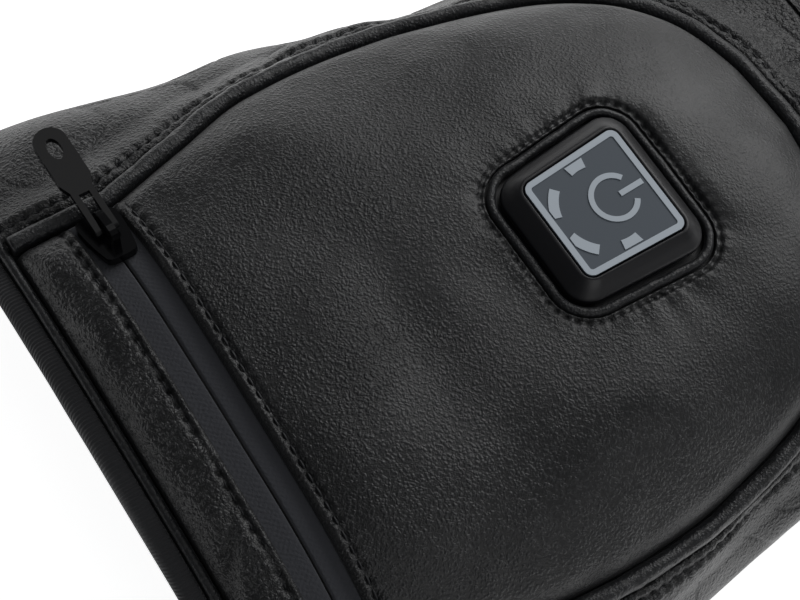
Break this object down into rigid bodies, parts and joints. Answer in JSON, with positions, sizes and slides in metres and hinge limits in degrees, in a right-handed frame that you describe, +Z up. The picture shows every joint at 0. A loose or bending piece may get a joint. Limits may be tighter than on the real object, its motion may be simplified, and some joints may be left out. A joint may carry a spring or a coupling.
{
  "type": "heated glove",
  "caption": "Black leather heated glove lying palm down, with a padded zipped battery pocket and a square push button on the back of its long cuff.",
  "frame": {"origin": "on the floor under the middle of the wrist, on the flat underside of the cuff", "axes": "+Y from the cuff to the fingertips, +Z up out of the back of the hand, +X to the side of the thumb"},
  "size_m": [0.1737, 0.3206, 0.0524],
  "materials": {
    "leather": "grained black leather, soft sheen",
    "trim_leather": "smooth black leather, soft sheen",
    "woven_cloth": "woven black tape, matte",
    "coil_plastic": "black coil, satin",
    "dark_metal": "black plated metal, glossy",
    "button_plastic": "black moulded plastic, satin",
    "label_plastic": "grey label, matte",
    "printed_ink": "light grey print, matte"
  },
  "bodies": {
    "glove": {"hand_back_panel": "leather", "hand_palm_panel": "leather", "thumb": "leather", "cuff_back_panel": "leather", "cuff_palm_panel": "leather", "pocket_panel": "leather", "hem_strip": "leather", "side_strip_little": "trim_leather", "fourchette_little_ring": "trim_leather", "fourchette_ring_middle": "trim_leather", "fourchette_middle_index": "trim_leather", "side_strip_index": "trim_leather", "side_strip_wrist": "trim_leather", "hem_cord": "trim_leather", "pocket_piping": "trim_leather", "button_welt": "trim_leather", "hem_binding": "woven_cloth", "zip_tape_hand": "woven_cloth", "zip_tape_hem": "woven_cloth", "zip_coil": "coil_plastic", "zip_slider": "dark_metal", "button_housing": "button_plastic"},
    "pull": {"zip_pull": "dark_metal"},
    "button": {"button_cap": "button_plastic", "button_label": "label_plastic", "label_border": "printed_ink", "power_ring": "printed_ink", "power_bar": "printed_ink", "level_mark_1": "printed_ink", "level_mark_2": "printed_ink", "level_mark_3": "printed_ink", "level_mark_4": "printed_ink"}
  },
  "joints": [
    {"name": "pull_swing", "type": "hinge", "parent": "glove", "child": "pull", "pos_m": [-0.03474, -0.1145, 0.04467], "axis": [0, 1, 0], "range_deg": [0, 132]},
    {"name": "button_press", "type": "slide", "parent": "glove", "child": "button", "axis": [0, 0, -1], "range_m": [0, 0.0006], "stiffness_N_per_m": 600}
  ]
}
